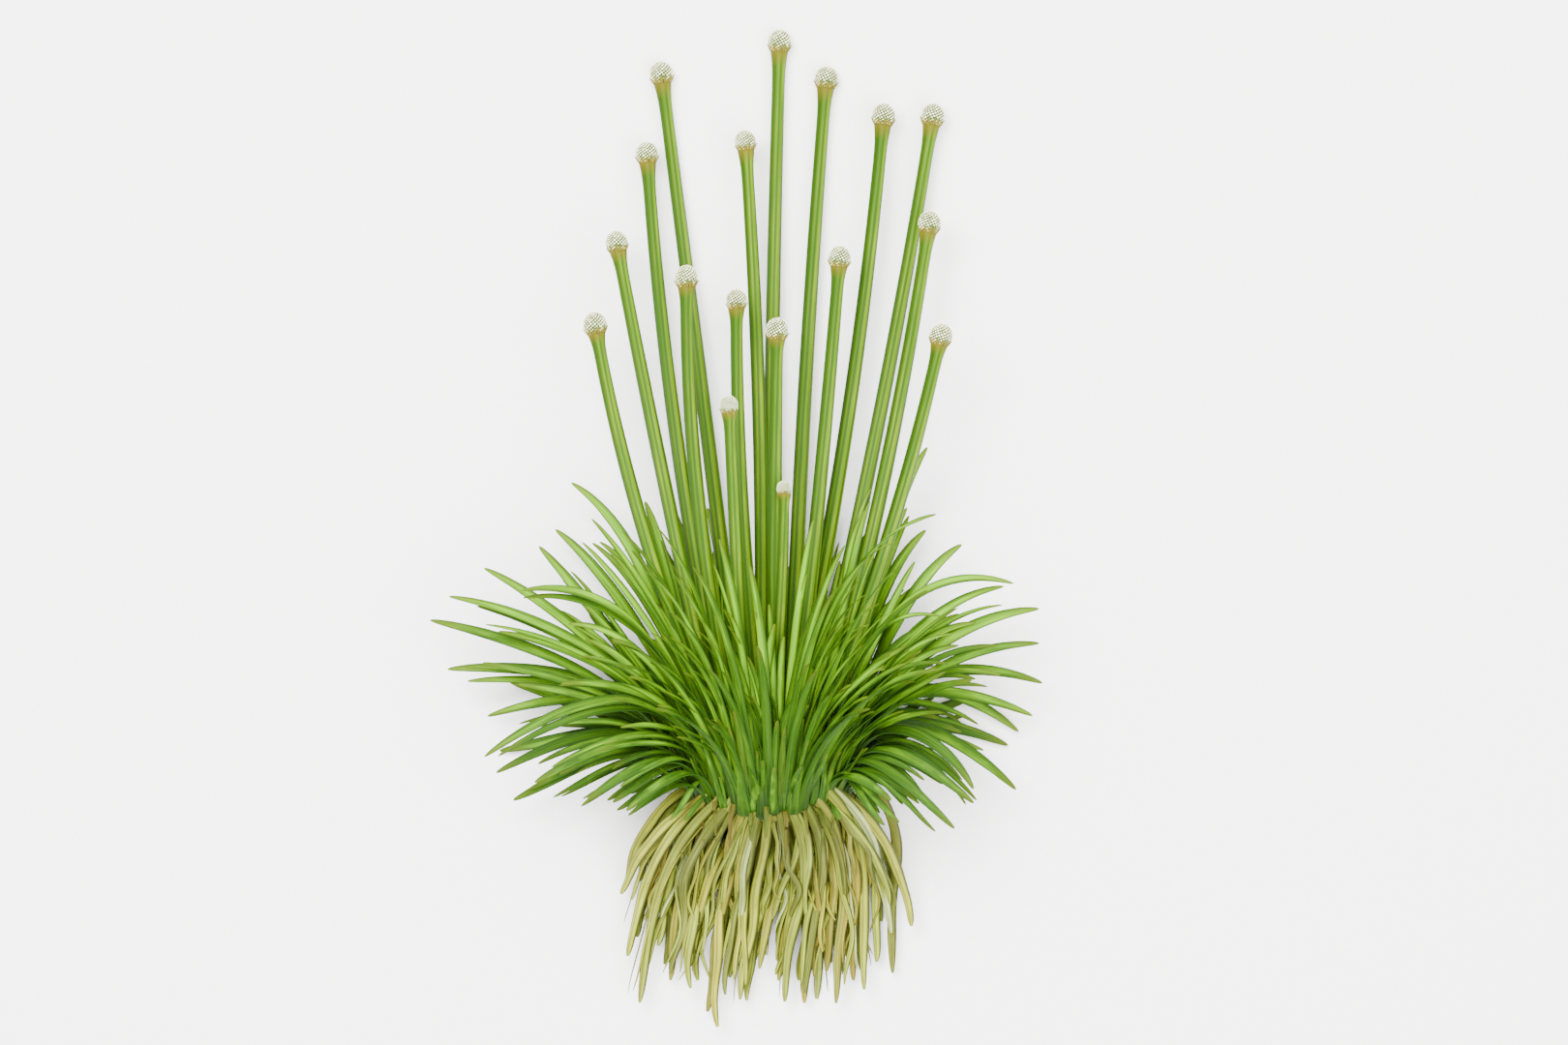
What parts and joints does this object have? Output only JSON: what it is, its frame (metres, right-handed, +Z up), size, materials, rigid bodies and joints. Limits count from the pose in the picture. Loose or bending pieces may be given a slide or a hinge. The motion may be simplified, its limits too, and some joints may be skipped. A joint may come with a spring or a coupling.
{
  "type": "ashy pipewort plant",
  "caption": "Small rosette plant pulled up whole: arching strap leaves, upright stalks with round white button heads, and a skirt of pale roots, lying on its back.",
  "frame": {"origin": "middle of the plant's box, on the surface it lies on", "axes": "+Y up the flower stalks, from the roots to the heads; +X to the plant's right as the picture shows it; +Z up from the surface, towards the camera"},
  "size_m": [0.098, 0.1604, 0.0402],
  "materials": {
    "leaf": "satin",
    "stalk": "satin",
    "flower_head": "matte",
    "crown": "matte",
    "root": "matte"
  },
  "bodies": {
    "root": {"crown": "crown", "leaves_low_left": "leaf", "leaves_low_left_back": "leaf", "leaves_low_right_back": "leaf", "leaves_low_right": "leaf", "leaves_low_front": "leaf", "leaves_outer_left": "leaf", "leaves_outer_back": "leaf", "leaves_outer_right": "leaf", "leaves_outer_left_front": "leaf", "leaves_outer_right_front": "leaf", "leaves_middle_left": "leaf", "leaves_middle_back": "leaf", "leaves_middle_right": "leaf", "leaves_middle_front": "leaf", "leaves_inner_left_back": "leaf", "leaves_inner_right_back": "leaf", "leaves_inner_left_front": "leaf", "leaves_inner_right_front": "leaf", "flower_stalk_01": "stalk", "flower_head_01": "flower_head", "flower_stalk_02": "stalk", "flower_head_02": "flower_head", "flower_stalk_03": "stalk", "flower_head_03": "flower_head", "flower_stalk_04": "stalk", "flower_head_04": "flower_head", "flower_stalk_05": "stalk", "flower_head_05": "flower_head", "flower_stalk_06": "stalk", "flower_head_06": "flower_head", "flower_stalk_07": "stalk", "flower_head_07": "flower_head", "flower_stalk_08": "stalk", "flower_head_08": "flower_head", "flower_stalk_09": "stalk", "flower_head_09": "flower_head", "flower_stalk_10": "stalk", "flower_head_10": "flower_head", "flower_stalk_11": "stalk", "flower_head_11": "flower_head", "flower_stalk_12": "stalk", "flower_head_12": "flower_head", "flower_stalk_13": "stalk", "flower_head_13": "flower_head", "flower_stalk_14": "stalk", "flower_head_14": "flower_head", "flower_stalk_15": "stalk", "flower_head_15": "flower_head", "flower_stalk_16": "stalk", "flower_head_16": "flower_head", "flower_stalk_17": "stalk", "flower_head_17": "flower_head", "roots_top_left": "root", "roots_top_right": "root", "roots_middle_left": "root", "roots_middle_right": "root", "roots_bottom_left": "root", "roots_bottom_right": "root"}
  },
  "joints": []
}
